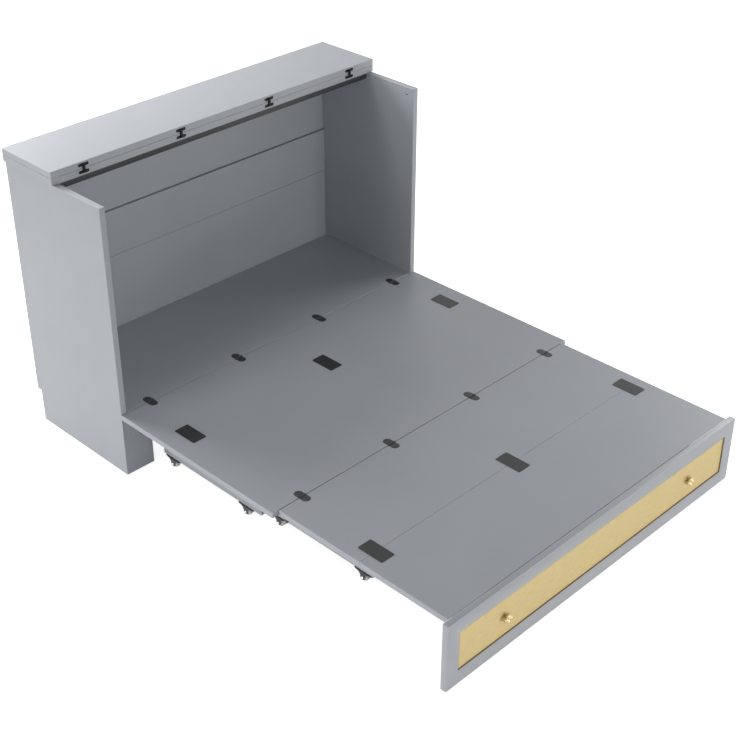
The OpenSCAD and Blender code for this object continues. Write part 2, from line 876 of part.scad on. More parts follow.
module drawer_sides() {
    color(grey) difference() {
        frame_sides(drawer_x, panel_rear_y, drawer_end, drawer_caster_ys);
        bottom_space(fit_gap);
    }
}

module drawer_back() {
    color(grey) difference() {
        frame_back(drawer_x, drawer_end, frame_top - batten_t);
        bottom_space(fit_gap);
    }
}

module drawer_bottom() {
    color(grey) bottom_space(0);
}

module drawer_tow_lugs() {
    color(steel) tow_lugs(drawer_x, drawer_end);
}

module drawer_caster_forks() {
    color(steel) caster_forks(drawer_x, drawer_caster_ys);
}

module middle_frame_sides() {
    color(grey) frame_sides(middle_frame_x, middle_frame_front, middle_frame_end,
        middle_caster_ys);
}

module middle_frame_back() {
    color(grey) frame_back(middle_frame_x, middle_frame_end, frame_top);
}

module middle_frame_fittings() {
    color(steel) {
        tow_lugs(middle_frame_x, middle_frame_end);
        tow_stops(middle_frame_x, middle_frame_front);
    }
}

module middle_caster_forks() {
    color(steel) caster_forks(middle_frame_x, middle_caster_ys);
}

module rear_frame_sides() {
    color(grey) frame_sides(rear_frame_x, rear_frame_front, rear_frame_end, rear_caster_ys);
}

module rear_frame_back() {
    color(grey) frame_back(rear_frame_x, rear_frame_end, frame_top);
}

module rear_frame_stops() {
    color(steel) tow_stops(rear_frame_x, rear_frame_front);
}

module rear_caster_forks() {
    color(steel) caster_forks(rear_frame_x, rear_caster_ys);
}

module drawer_wheel(number) {
    color("gainsboro") caster_wheel(drawer_x, drawer_caster_ys, number);
}

module middle_wheel(number) {
    color("gainsboro") caster_wheel(middle_frame_x, middle_caster_ys, number);
}

module rear_wheel(number) {
    color("gainsboro") caster_wheel(rear_frame_x, rear_caster_ys, number);
}

set_down() side_panel_left();
set_down() side_panel_right();
set_down() back_plank_lower();
set_down() back_plank_middle();
set_down() back_plank_upper();
set_down() rear_deck();
set_down() front_stiles();
set_down() bay_guides();
set_down() support_cleats();
set_down() lid_rear_half();
set_down() lid_stiffener();
set_down() lid_hinge_cups_rear();
set_down() head_hinge_leaves();
set_down() head_hinge_pins();
set_down() lid_front_half();
set_down() lid_hinge_cups_front();
set_down() lid_hinge_links();
set_down() mid_deck();
set_down() mid_hinge_leaves();
set_down() foot_hinge_pins();
set_down() grip_pads_mid();
set_down() foot_deck_inner_board();
set_down() foot_deck_outer_board();
set_down() foot_deck_battens();
set_down() foot_hinge_leaves();
set_down() grip_pads_foot();
set_down() bolt_housings();
set_down() lock_bolt_left();
set_down() lock_bolt_right();
set_down() foot_panel_rails();
set_down() foot_panel_stiles();
set_down() cane_inset();
set_down() inset_backing();
set_down() knobs();
set_down() drawer_sides();
set_down() drawer_back();
set_down() drawer_bottom();
set_down() drawer_tow_lugs();
set_down() drawer_caster_forks();
set_down() middle_frame_sides();
set_down() middle_frame_back();
set_down() middle_frame_fittings();
set_down() middle_caster_forks();
set_down() rear_frame_sides();
set_down() rear_frame_back();
set_down() rear_frame_stops();
set_down() rear_caster_forks();
set_down() drawer_wheel(1);  // drawer_wheel_1
set_down() drawer_wheel(2);  // drawer_wheel_2
set_down() drawer_wheel(3);  // drawer_wheel_3
set_down() drawer_wheel(4);  // drawer_wheel_4
set_down() middle_wheel(1);  // middle_wheel_1
set_down() middle_wheel(2);  // middle_wheel_2
set_down() middle_wheel(3);  // middle_wheel_3
set_down() middle_wheel(4);  // middle_wheel_4
set_down() rear_wheel(1);  // rear_wheel_1
set_down() rear_wheel(2);  // rear_wheel_2
set_down() rear_wheel(3);  // rear_wheel_3
set_down() rear_wheel(4);  // rear_wheel_4
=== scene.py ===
import math
from contextlib import contextmanager

import bmesh
import bpy
from mathutils import Matrix, Quaternion, Vector


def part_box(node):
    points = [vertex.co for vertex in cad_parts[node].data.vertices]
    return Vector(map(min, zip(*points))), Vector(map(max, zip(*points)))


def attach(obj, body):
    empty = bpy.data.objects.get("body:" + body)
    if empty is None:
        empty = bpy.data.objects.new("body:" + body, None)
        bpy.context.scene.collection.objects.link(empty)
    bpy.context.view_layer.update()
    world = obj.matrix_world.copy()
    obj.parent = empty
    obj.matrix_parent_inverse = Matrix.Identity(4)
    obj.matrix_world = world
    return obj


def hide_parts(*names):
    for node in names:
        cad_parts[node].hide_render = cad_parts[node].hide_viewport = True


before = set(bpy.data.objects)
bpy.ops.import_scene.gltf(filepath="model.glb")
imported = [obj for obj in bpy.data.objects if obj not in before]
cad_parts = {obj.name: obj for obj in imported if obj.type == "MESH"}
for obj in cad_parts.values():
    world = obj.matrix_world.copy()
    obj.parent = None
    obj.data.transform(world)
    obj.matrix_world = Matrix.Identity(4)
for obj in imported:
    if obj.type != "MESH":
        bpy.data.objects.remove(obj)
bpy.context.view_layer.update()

# Camera
# It stands in front of the open bed, to the left and above, and looks down into the cabinet.
# The long lens keeps the boards' edges almost parallel.
camera_azimuth = math.radians(-45.418)
camera_elevation = math.radians(32.142)
camera_roll = math.radians(0.123)
camera_distance = 4.9785
camera_aim = Vector((0.02786, 0.06267, 0.29394))
camera_lens = 69.64
camera_sensor = 36.0

camera_back = Vector((math.sin(camera_azimuth) * math.cos(camera_elevation),
                      -math.cos(camera_azimuth) * math.cos(camera_elevation),
                      math.sin(camera_elevation)))
bpy.ops.object.select_all(action="DESELECT")
bpy.ops.object.camera_add(location=camera_aim + camera_back * camera_distance)
camera = bpy.context.object
camera.name = "studio_camera"
camera.rotation_mode = "QUATERNION"
camera.rotation_quaternion = (camera_back.to_track_quat("Z", "Y")
                              @ Quaternion((0, 0, 1), camera_roll))
camera.data.lens = camera_lens
camera.data.sensor_width = camera_sensor
bpy.context.scene.camera = camera
bpy.context.scene.view_settings.view_transform = "Standard"

# Studio floor and daylight
# A pale floor that runs out to a white surround, as in a product studio. The floor shows
# white to the camera and to shiny parts, and still takes the bed's soft shadow.
floor_half = 20.0
floor_reflects = 0.80
floor_glow = 0.85
surround_white = 1.0
surround_fill = 0.16


def worked_out(tree, operation, *values):
    """One step of arithmetic on values, each a number or the output of a node."""
    node = tree.nodes.new("ShaderNodeMath")
    node.operation = operation
    for socket, value in zip(node.inputs, values):
        if isinstance(value, float):
            socket.default_value = value
        else:
            tree.links.new(value, socket)
    return node.outputs[0]


def seen_directly(tree):
    """1 for rays that come from the camera, or by way of a gloss or a clear part."""
    path = tree.nodes.new("ShaderNodeLightPath")
    either = worked_out(tree, "MAXIMUM", path.outputs["Is Camera Ray"],
                        path.outputs["Is Glossy Ray"])
    return worked_out(tree, "MAXIMUM", either, path.outputs["Is Transmission Ray"])


bpy.ops.mesh.primitive_plane_add(size=2 * floor_half, location=(0, 0, 0))
floor = bpy.context.object
floor.name = "studio_floor"
floor_paint = bpy.data.materials.new("studio_floor_paint")
floor_paint.use_nodes = True
floor_tree = floor_paint.node_tree
floor_tree.nodes.clear()
floor_out = floor_tree.nodes.new("ShaderNodeOutputMaterial")
floor_matt = floor_tree.nodes.new("ShaderNodeBsdfDiffuse")
floor_matt.inputs["Color"].default_value = (floor_reflects, floor_reflects, floor_reflects, 1)
floor_light = floor_tree.nodes.new("ShaderNodeEmission")
floor_sum = floor_tree.nodes.new("ShaderNodeAddShader")
floor_tree.links.new(worked_out(floor_tree, "MULTIPLY", seen_directly(floor_tree), floor_glow),
                     floor_light.inputs["Strength"])
floor_tree.links.new(floor_matt.outputs[0], floor_sum.inputs[0])
floor_tree.links.new(floor_light.outputs[0], floor_sum.inputs[1])
floor_tree.links.new(floor_sum.outputs[0], floor_out.inputs["Surface"])
floor.data.materials.append(floor_paint)

surround = bpy.data.worlds.new("studio_surround")
bpy.context.scene.world = surround
surround.use_nodes = True
surround_tree = surround.node_tree
surround_light = surround_tree.nodes["Background"]
surround_light.inputs["Color"].default_value = (1, 1, 1, 1)
surround_tree.links.new(
    worked_out(surround_tree, "MULTIPLY_ADD", seen_directly(surround_tree),
               surround_white - surround_fill, surround_fill),
    surround_light.inputs["Strength"])


def softbox(name, place, aim, wide, tall, watts):
    """A large oblong lamp behind a diffuser, turned to the point that it lights."""
    bpy.ops.object.light_add(type="AREA", location=place)
    lamp = bpy.context.object
    lamp.name = name
    lamp.data.shape = "RECTANGLE"
    lamp.data.size = wide
    lamp.data.size_y = tall
    lamp.data.energy = watts
    lamp.rotation_euler = (Vector(place) - Vector(aim)).to_track_quat("Z", "Y").to_euler()


softbox("lamp_left", (-3.6, 0.9, 0.9), (0, 0.6, 0.5), wide=2.0, tall=1.4, watts=34)
softbox("lamp_rear", (-0.6, 3.2, 2.6), (0, 0.8, 1.0), wide=2.4, tall=1.2, watts=79)
softbox("lamp_over_lid", (-0.45, 1.3, 2.6), (-0.2, 0.9, 1.05), wide=1.0, tall=0.5, watts=11)
softbox("lamp_front_low", (0.3, -4.0, 0.7), (0, -0.6, 0.3), wide=2.4, tall=1.0, watts=42)
softbox("lamp_left_low", (-1.4, -1.1, 0.07), (-0.7, -1.1, 0.07), wide=2.1, tall=0.1, watts=2.7)
softbox("lamp_right", (3.6, -0.4, 1.4), (0, -0.2, 0.4), wide=2.0, tall=1.6, watts=50)

# Side panels
# Two upright boards of lacquered fibreboard, with eased edges and a low notch at the rear
# for the skirting. Each has a small hole near the front for the raised bed's lock bolt.
panel_grey = (180, 184, 190)
cloud_shade = 0.985
# Eased edges are painted lighter: partly rubbed paint, partly a painted highlight.
rubbed_edge_and_highlight = 1.05
eased_normal = 0.80
flat_normal = 0.97
lacquer_roughness = 0.40
smear_shines = 0.03
smear_dulls = 0.05
smear_stretch = (1, 1, 0.4)
lacquer_peel = 700.0
lacquer_peel_depth = 0.00006


def tone(colour, shade=1.0):
    """A screen's colour, from 0 to 255, shaded, in the linear values that shaders take."""
    shares = [min(value * shade / 255, 1) for value in colour]
    return (*(s / 12.92 if s <= 0.04045 else ((s + 0.055) / 1.055) ** 2.4 for s in shares), 1.0)


def new_finish(name, roughness, metallic=0.0):
    """A material with its shader and the coordinates that its patterns lie on."""
    finish = bpy.data.materials.new(name)
    finish.use_nodes = True
    tree = finish.node_tree
    shader = tree.nodes["Principled BSDF"]
    shader.inputs["Roughness"].default_value = roughness
    shader.inputs["Metallic"].default_value = metallic
    return finish, tree, shader, tree.nodes.new("ShaderNodeTexCoord")


def cloud(tree, place, per_metre, detail=2.0, stretch=(1, 1, 1)):
    """Soft irregular noise on a piece, with so many blotches in a metre."""
    mapping = tree.nodes.new("ShaderNodeMapping")
    mapping.inputs["Scale"].default_value = stretch
    tree.links.new(place.outputs["Object"], mapping.inputs["Vector"])
    noise = tree.nodes.new("ShaderNodeTexNoise")
    noise.inputs["Scale"].default_value = per_metre
    noise.inputs["Detail"].default_value = detail
    tree.links.new(mapping.outputs["Vector"], noise.inputs["Vector"])
    return noise.outputs[0]


def ranged(tree, value, low=0.0, high=1.0, from_low=0.3, from_high=0.7):
    """A value brought from one range to another, and kept in it. Noise is mostly 0.3 to 0.7."""
    node = tree.nodes.new("ShaderNodeMapRange")
    node.inputs["From Min"].default_value = from_low
    node.inputs["From Max"].default_value = from_high
    node.inputs["To Min"].default_value = low
    node.inputs["To Max"].default_value = high
    tree.links.new(value, node.inputs["Value"])
    return node.outputs[0]


def mixed(tree, factor, first, second):
    """A colour between two others, which are the node's sockets 6 and 7."""
    node = tree.nodes.new("ShaderNodeMix")
    node.data_type = "RGBA"
    tree.links.new(factor, node.inputs["Factor"])
    for socket, colour in ((node.inputs[6], first), (node.inputs[7], second)):
        if isinstance(colour, tuple):
            socket.default_value = colour
        else:
            tree.links.new(colour, socket)
    return node.outputs[2]


def colour_between(tree, shader, factor, first, second):
    """Colours a finish between two colours, by a pattern."""
    tree.links.new(mixed(tree, factor, first, second), shader.inputs["Base Color"])


def rough_between(tree, shader, pattern, low, high):
    """Varies a finish's roughness between two values, by a pattern."""
    tree.links.new(ranged(tree, pattern, low, high), shader.inputs["Roughness"])


def raised(tree, shader, height, depth):
    """Lets a pattern stand out from the surface by a depth in metres."""
    bump = tree.nodes.new("ShaderNodeBump")
    bump.inputs["Distance"].default_value = depth
    tree.links.new(height, bump.inputs["Height"])
    tree.links.new(bump.outputs["Normal"], shader.inputs["Normal"])


def eased_edge(tree, place):
    """1 on the narrow eased edges of a board, which face no axis squarely, and 0 elsewhere."""
    split = tree.nodes.new("ShaderNodeSeparateXYZ")
    tree.links.new(place.outputs["Normal"], split.inputs[0])
    along_x, along_y, along_z = (worked_out(tree, "ABSOLUTE", part) for part in split.outputs)
    largest = worked_out(tree, "MAXIMUM", worked_out(tree, "MAXIMUM", along_x, along_y), along_z)
    return ranged(tree, largest, 1.0, 0.0, eased_normal, flat_normal)


def grey_lacquer(name, shade=1.0, painted_edge_tone=rubbed_edge_and_highlight):
    """Sprayed satin lacquer, almost even, with a fine orange peel; eased edges tinted lighter for
    rub and painted highlight, or darker for painted seam shade.
    """
    finish, tree, shader, place = new_finish(name, lacquer_roughness)
    body = mixed(tree, ranged(tree, cloud(tree, place, per_metre=5.0, detail=3.0)),
                 tone(panel_grey, shade), tone(panel_grey, shade * cloud_shade))
    # The eased edges get their own colour: a painted highlight with rub, or painted shade at
    # seams.
    edge = tone(panel_grey, shade * painted_edge_tone)
    colour_between(tree, shader, eased_edge(tree, place), body, edge)
    smear = cloud(tree, place, per_metre=22.0, detail=4.0, stretch=smear_stretch)
    rough_between(tree, shader, smear, lacquer_roughness - smear_shines,
                  lacquer_roughness + smear_dulls)
    raised(tree, shader, cloud(tree, place, lacquer_peel, detail=1.0), lacquer_peel_depth)
    return finish


def coat(material, *names):
    """Gives CAD pieces a finish, in the material slots that they have."""
    for name in names:
        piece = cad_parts[name]
        if not piece.material_slots:
            piece.data.materials.append(material)
        for slot in piece.material_slots:
            slot.material = material


cabinet_lacquer = grey_lacquer("cabinet_lacquer")
coat(cabinet_lacquer, "side_panel_left", "side_panel_right")

# Back planks
# Three wide boards across the back, each set a step behind the next, so that a thin line
# shows at each seam. They are lacquered as the cabinet is, and their edges are painted darker, as
# painted shade along the seams.
# The planks' eased edges are painted darker, as painted shade in the seams.
seam_shade_edge = 0.72

plank_lacquer = grey_lacquer("plank_lacquer", painted_edge_tone=seam_shade_edge)
coat(plank_lacquer, "back_plank_lower", "back_plank_middle", "back_plank_upper")

# Fixed deck, stiles, guides and cleats
# The part of the deck that stays in the cabinet, on cleats screwed to the side panels, and
# the boards beside the bay into which the rolling frames go.
coat(cabinet_lacquer, "rear_deck", "front_stiles", "bay_guides", "support_cleats")

# Lid
# Two halves of the same board, hinged in their edges. The front half lies folded back on
# the rear one, upside down.
lid_lacquer = grey_lacquer("lid_lacquer", shade=1.01)
coat(lid_lacquer, "lid_rear_half", "lid_front_half")

# Lid stiffener
# A rolled steel angle under the front edge of the fixed half, painted black, with its
# flange screwed up into the lid.
steel_black = (44, 47, 50)
worn_shade = 1.35
grain_shines = 0.05
grain_dulls = 0.10
grain_depth = 0.00003
noise_peaks = (0.45, 0.75)
angle_wall = 0.002
angle_bend = 0.0022
fine_ease = 0.0003
screw_pitch = 0.225
screw_rows = 7
screw_radius = 0.0034
screw_deep = 0.0018
flange_screw_long = 0.012
screw_sunk = 0.0003
recess_long_share = 0.62
recess_wide_share = 0.15
recess_deep_share = 0.55
head_foot_share = 0.5
shank_start_share = 0.9
shank_share = 0.46
tip_share = 0.2
over = 0.001
facing = 0.9
same_place = 0.00001


def take(piece):
    """Makes a piece the only one that operators act on."""
    bpy.ops.object.select_all(action="DESELECT")
    piece.select_set(True)
    bpy.context.view_layer.objects.active = piece


def settle(piece, name):
    """Names a new piece, and brings its place, turn and size into its mesh."""
    piece.name = name
    take(piece)
    bpy.ops.object.transform_apply(location=True, rotation=True, scale=True)
    return piece


def add_block(name, low, high):
    """A block between two corners, for shaping."""
    low, high = Vector(low), Vector(high)
    bpy.ops.object.select_all(action="DESELECT")
    bpy.ops.mesh.primitive_cube_add(size=1, location=(low + high) / 2)
    bpy.context.object.scale = high - low
    return settle(bpy.context.object, name)


def add_rod(name, start, end, radius, sides=32, end_radius=None):
    """A round bar from one point to another, for shaping. It tapers to the end radius."""
    start, end = Vector(start), Vector(end)
    turn = (end - start).to_track_quat("Z", "Y").to_euler()
    bpy.ops.object.select_all(action="DESELECT")
    bpy.ops.mesh.primitive_cone_add(
        vertices=sides, radius1=radius, radius2=radius if end_radius is None else end_radius,
        depth=(end - start).length, location=(start + end) / 2, rotation=turn)
    return settle(bpy.context.object, name)


@contextmanager
def edit_mode():
    """Edit mode, for the lines under it."""
    bpy.ops.object.mode_set(mode="EDIT")
    yield
    bpy.ops.object.mode_set(mode="OBJECT")


def pick(piece, kind, parts_of, test):
    """In edit mode, selects the faces, edges or points that pass the test, and no others."""
    bpy.ops.mesh.select_all(action="DESELECT")
    bpy.ops.mesh.select_mode(type=kind)
    shape = bmesh.from_edit_mesh(piece.data)
    for part in parts_of(shape):
        if test(part):
            part.select_set(True)
    bmesh.update_edit_mesh(piece.data)


def pick_faces(piece, test):
    """Picks faces by their middle and normal."""
    pick(piece, "FACE", lambda shape: shape.faces,
         lambda face: test(face.calc_center_median(), face.normal))


def pick_edges(piece, test):
    """Picks edges by their two ends."""
    pick(piece, "EDGE", lambda shape: shape.edges,
         lambda edge: test(edge.verts[0].co, edge.verts[1].co))


def round_edges(piece, test, radius, segments):
    """Rounds only the edges whose two ends pass the test."""
    take(piece)
    with edit_mode():
        pick_edges(piece, test)
        bpy.ops.mesh.bevel(offset=radius, segments=segments, affect="EDGES")
    return piece


def combine(piece, other, operation="DIFFERENCE"):
    """Cuts another piece out of this one, or joins it on, and removes the other."""
    take(piece)
    change = piece.modifiers.new("combine", "BOOLEAN")
    change.object = other
    change.operation = operation
    change.solver = "EXACT"
    bpy.ops.object.modifier_apply(modifier=change.name)
    bpy.data.objects.remove(other)
    return piece


def round_over(piece, width, segments=2):
    """Rounds the sharp edges of a piece."""
    take(piece)
    change = piece.modifiers.new("round_over", "BEVEL")
    change.width = width
    change.segments = segments
    change.limit_method = "ANGLE"
    change.angle_limit = math.radians(60)
    bpy.ops.object.modifier_apply(modifier=change.name)
    return piece


def smooth(piece, angle=35):
    """Shades a piece's curved faces smooth and leaves its corners sharp."""
    take(piece)
    bpy.ops.object.shade_smooth_by_angle(angle=math.radians(angle))
    return piece


def copy_to(piece, place, turn=0.0, axis="Z"):
    """A copy with a mesh of its own, turned about the origin and then moved."""
    twin = piece.copy()
    twin.data = piece.data.copy()
    bpy.context.collection.objects.link(twin)
    twin.data.transform(Matrix.Translation(place) @ Matrix.Rotation(turn, 4, axis))
    return twin


def copies_at(piece, places, turn=0.0, axis="Z"):
    """Copies of a piece at several places, turned alike. The first one goes."""
    twins = [copy_to(piece, place, turn, axis) for place in places]
    bpy.data.objects.remove(piece)
    return twins


def unite(name, pieces):
    """Joins pieces into one object that keeps each part's finish."""
    bpy.ops.object.select_all(action="DESELECT")
    for piece in pieces:
        piece.select_set(True)
    whole = pieces[0]
    bpy.context.view_layer.objects.active = whole
    bpy.ops.object.join()
    whole.name = name
    whole.data.name = name
    return whole


def cover(piece, material):
    """Gives a new piece its finish all over."""
    piece.data.materials.clear()
    piece.data.materials.append(material)
    return piece


def cross_screw(name, radius, deep, length, material):
    """A countersunk wood screw, head up and flush with the origin, with a cross recess."""
    screw = add_rod(name, (0, 0, -deep), (0, 0, 0), radius * head_foot_share, 28, radius)
    for wide_share, tall_share in ((recess_long_share, recess_wide_share),
                                   (recess_wide_share, recess_long_share)):
        wide, tall = wide_share * radius, tall_share * radius
        combine(screw, add_block("recess", (-wide, -tall, -deep * recess_deep_share),
                                 (wide, tall, over)))
    shank = add_rod("shank", (0, 0, -length), (0, 0, -deep * shank_start_share),
                    radius * tip_share, 12, radius * shank_share)
    return cover(smooth(unite(name, [screw, shank]), angle=30), material)


def black_enamel(name, colour, roughness, shine=0.5):
    """Black paint on metal: a faint grain, and a little grey where hands and edges rub."""
    finish, tree, shader, place = new_finish(name, roughness)
    shader.inputs["Specular IOR Level"].default_value = shine
    rub = ranged(tree, cloud(tree, place, per_metre=60.0, detail=5.0), 0.0, 0.5, *noise_peaks)
    colour_between(tree, shader, rub, tone(colour), tone(colour, worn_shade))
    grain = cloud(tree, place, per_metre=140.0, detail=3.0)
    rough_between(tree, shader, grain, roughness - grain_shines, roughness + grain_dulls)
    raised(tree, shader, cloud(tree, place, per_metre=900.0), grain_depth)
    return finish


angle_black = black_enamel("angle_black", steel_black, roughness=0.45)
angle_low, angle_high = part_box("lid_stiffener")
stiffener = add_block("lid_stiffener_angle", angle_low,
                      (angle_high.x, angle_low.y + angle_wall, angle_high.z))
with edit_mode():
    bpy.ops.mesh.select_all(action="SELECT")
    bpy.ops.mesh.bisect(plane_co=(0, 0, angle_high.z - angle_wall), plane_no=(0, 0, 1))
    pick_faces(stiffener, lambda middle, normal:
               normal.y > facing and middle.z > angle_high.z - angle_wall)
    bpy.ops.mesh.extrude_region_move(TRANSFORM_OT_translate={
        "value": (0, angle_high.y - angle_low.y - angle_wall, 0)})
round_edges(stiffener, lambda one, two: all(
    abs(end.y - angle_low.y) < same_place and abs(end.z - angle_high.z) < same_place
    for end in (one, two)), angle_bend, segments=5)
cover(round_over(stiffener, fine_ease), angle_black)
flange_y = (angle_low.y + angle_wall + angle_high.y) / 2
flange_z = angle_high.z - angle_wall - screw_sunk
flange_screws = copies_at(
    cross_screw("flange_screw", screw_radius, screw_deep, flange_screw_long, angle_black),
    [(screw_pitch * (i - (screw_rows - 1) / 2), flange_y, flange_z) for i in range(screw_rows)],
    math.pi, "X")
stiffener = smooth(unite("lid_stiffener_angle", [stiffener, *flange_screws]))
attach(stiffener, "cabinet")
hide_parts("lid_stiffener")

# Lid hinges
# Concealed hinges of black zinc alloy, let into the edges of both halves. Each has two oval
# cups, held by a screw at either end, and a link that turns in a slot between them.
cup_black = (18, 21, 24)
cup_long = 0.042
cup_round = 0.0055
cup_lip = 0.0007
cup_screw_out = 0.0145
cup_screw_long = 0.014
small_screw_radius = 0.0026
small_screw_deep = 0.0014
slot_wide = 0.0096
slot_reach = 0.01456
slot_back = 0.0006
link_wide = 0.009
link_ease = 0.0008
link_pin = 0.0018
link_pin_sunk = 0.001
link_pin_proud = 0.0003
hair_ease = 0.0002


def middle_of(node):
    """The middle of a CAD node's box."""
    return [(low + high) / 2 for low, high in zip(*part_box(node))]


def four_across(out):
    """Four even places across the bed, out to the same distance on both sides."""
    return [-out, -out / 3, out / 3, out]


hinge_enamel = black_enamel("hinge_enamel", cup_black, roughness=0.38, shine=0.2)
rear_low, rear_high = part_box("lid_hinge_cups_rear")
front_low, front_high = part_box("lid_hinge_cups_front")
link_low, link_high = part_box("lid_hinge_links")
lid_pin_z = middle_of("lid_hinge_links")[2]
lid_hinge_places = [(x, 0, 0) for x in four_across(rear_high.x - cup_long / 2)]


def pick_points(piece, test):
    """Picks points by their place."""
    pick(piece, "VERT", lambda shape: shape.verts, lambda point: test(point.co))


def stretch_ends(piece, axis, reach):
    """Draws a round piece out to an oval, by moving its two halves apart along an axis."""
    with edit_mode():
        for side in (-1, 1):
            pick_points(piece, lambda point: side * point[axis] > same_place)
            move = [0, 0, 0]
            move[axis] = side * reach
            bpy.ops.transform.translate(value=move)
    return piece


def lid_cup(low, high):
    """One oval cup at the middle of the bed, with its rim, slot and two screws."""
    middle_z = (low.z + high.z) / 2
    cup = add_rod("cup", (0, high.y, 0), (0, low.y, 0), cup_round, sides=40)
    stretch_ends(cup, 0, cup_long / 2 - cup_round)
    with edit_mode():
        pick_faces(cup, lambda middle, normal: normal.y < -facing)
        bpy.ops.mesh.inset(thickness=cup_lip)
        bpy.ops.mesh.inset(thickness=cup_lip / 2)
        bpy.ops.transform.translate(value=(0, cup_lip / 2, 0))
    round_over(cup, fine_ease)
    cup.data.transform(Matrix.Translation((0, 0, middle_z)))
    slot_y = link_high.y + slot_back
    combine(cup, add_rod("slot", (-slot_wide / 2, slot_y, lid_pin_z),
                         (slot_wide / 2, slot_y, lid_pin_z), slot_reach, sides=64))
    cover(cup, hinge_enamel)
    screw = cross_screw("cup_screw", small_screw_radius, small_screw_deep, cup_screw_long,
                        hinge_enamel)
    screws = copies_at(screw, [(side * cup_screw_out, low.y + cup_lip / 4, middle_z)
                               for side in (-1, 1)], math.pi / 2, "X")
    return smooth(unite("cup", [cup, *screws]))


for name, low, high, body, node in (
        ("lid_hinge_cups_fixed", rear_low, rear_high, "cabinet", "lid_hinge_cups_rear"),
        ("lid_hinge_cups_folding", front_low, front_high, "lid_front", "lid_hinge_cups_front")):
    cups = unite(name, copies_at(lid_cup(low, high), lid_hinge_places))
    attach(cups, body)
    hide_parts(node)

link = add_rod("link", (0, link_high.y, 0), (0, link_low.y, 0), link_wide / 2)
link_reach = (link_high.z - link_low.z - link_wide) / 2
stretch_ends(link, 2, link_reach)
round_over(link, link_ease, segments=3)
for pin_z in (-link_reach, link_reach):
    pin = add_rod("pin", (0, link_high.y - link_pin_sunk, pin_z),
                  (0, link_low.y - link_pin_proud, pin_z), link_pin, sides=20)
    combine(link, round_over(pin, hair_ease), "UNION")
link.data.transform(Matrix.Translation((0, 0, lid_pin_z)))
cover(smooth(link), hinge_enamel)
links = unite("lid_hinge_links_set", copies_at(link, lid_hinge_places))
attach(links, "lid_links")
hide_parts("lid_hinge_links")

# Deck leaves
# The middle leaf, and the foot leaf of two boards side by side, with the battens that join
# them from below. All are lacquered fibreboard with eased edges.
deck_lacquer = grey_lacquer("deck_lacquer", shade=0.995)
coat(deck_lacquer, "mid_deck", "foot_deck_inner_board", "foot_deck_outer_board",
     "foot_deck_battens")

# Deck hinges
# Black flap hinges let in flush at the two seams. Each leaf has a round end and two
# countersunk screws, and the knuckles of a pair share one steel pin.
leaf_black = (40, 44, 47)
leaf_wide = 0.031
leaf_reach = 0.0325
leaf_thick = 0.003
leaf_ease = 0.0004
seam_half = 0.001
pin_rise = 0.001
pin_radius = 0.0012
pin_play = 0.00006
knuckle_radius = 0.0026
knuckle_long = 0.011
knuckle_gap = 0.0003
leaf_screw_radius = 0.0031
leaf_screw_deep = 0.0016
leaf_screw_long = 0.013
leaf_screw_places = (0.011, 0.023)
leaf_screw_turn = math.radians(25)
leaf_screw_sunk = 0.0001
countersink_play = 0.0002
countersink_over = 0.00002
countersink_foot_share = 0.4
flat_within = math.radians(0.5)
pin_steel = (150, 152, 154)
scratch_shade = 0.90
scratch_shines = 0.06
scratch_dulls = 0.08
scratch_depth = 0.00002

leaf_enamel = black_enamel("leaf_enamel", leaf_black, roughness=0.38)
deck_hinge_row = four_across(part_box("head_hinge_leaves")[1].x - leaf_wide / 2)
_, head_seam_y, head_pin_z = middle_of("head_hinge_pins")
foot_seam_y = middle_of("foot_hinge_pins")[1]
deck_top = head_pin_z - pin_rise


def hinge_leaf(name, has_middle_knuckle):
    """One leaf that reaches along Y from its pin, with its own knuckles and screws."""
    half, inner = leaf_wide / 2, knuckle_long / 2
    straight = leaf_reach - half
    leaf = add_rod(name, (0, straight, -leaf_thick), (0, straight, 0), half, sides=64)
    with edit_mode():
        bpy.ops.mesh.select_all(action="SELECT")
        bpy.ops.mesh.bisect(plane_co=(0, straight, 0), plane_no=(0, -1, 0), clear_outer=True,
                            use_fill=True)
        pick_faces(leaf, lambda middle, normal: normal.y < -facing)
        bpy.ops.mesh.extrude_region_move(
            TRANSFORM_OT_translate={"value": (0, seam_half - straight, 0)})
        bpy.ops.mesh.select_all(action="SELECT")
        bpy.ops.mesh.dissolve_limited(angle_limit=flat_within)
    round_over(leaf, leaf_ease, segments=3)
    if has_middle_knuckle:
        own = [(-inner, inner)]
        others = [(-half - over, -inner), (inner, half + over)]
    else:
        own = [(-half, -inner - knuckle_gap), (inner + knuckle_gap, half)]
        others = [(-inner - knuckle_gap, inner + knuckle_gap)]
    for start, end in others:
        combine(leaf, add_rod("room", (start, 0, pin_rise), (end, 0, pin_rise),
                              knuckle_radius + knuckle_gap))
    for start, end in own:
        barrel = add_rod("knuckle", (start, 0, pin_rise), (end, 0, pin_rise), knuckle_radius)
        combine(leaf, round_over(barrel, fine_ease), "UNION")
    combine(leaf, add_rod("bore", (-half - over, 0, pin_rise), (half + over, 0, pin_rise),
                          pin_radius + pin_play, sides=24))
    for y in leaf_screw_places:
        combine(leaf, add_rod("countersink", (0, y, -leaf_thick - over),
                              (0, y, countersink_over),
                              leaf_screw_radius * countersink_foot_share, 28,
                              leaf_screw_radius + countersink_play))
    cover(leaf, leaf_enamel)
    screw = cross_screw("leaf_screw", leaf_screw_radius, leaf_screw_deep, leaf_screw_long,
                        leaf_enamel)
    screws = copies_at(screw, [(0, y, -leaf_screw_sunk) for y in leaf_screw_places],
                       leaf_screw_turn)
    return smooth(unite(name, [leaf, *screws]))


def leaf_row(leaf, seam_y, turn):
    """The same leaf at the four places of a seam."""
    return [copy_to(leaf, (x, seam_y, deck_top), turn) for x in deck_hinge_row]


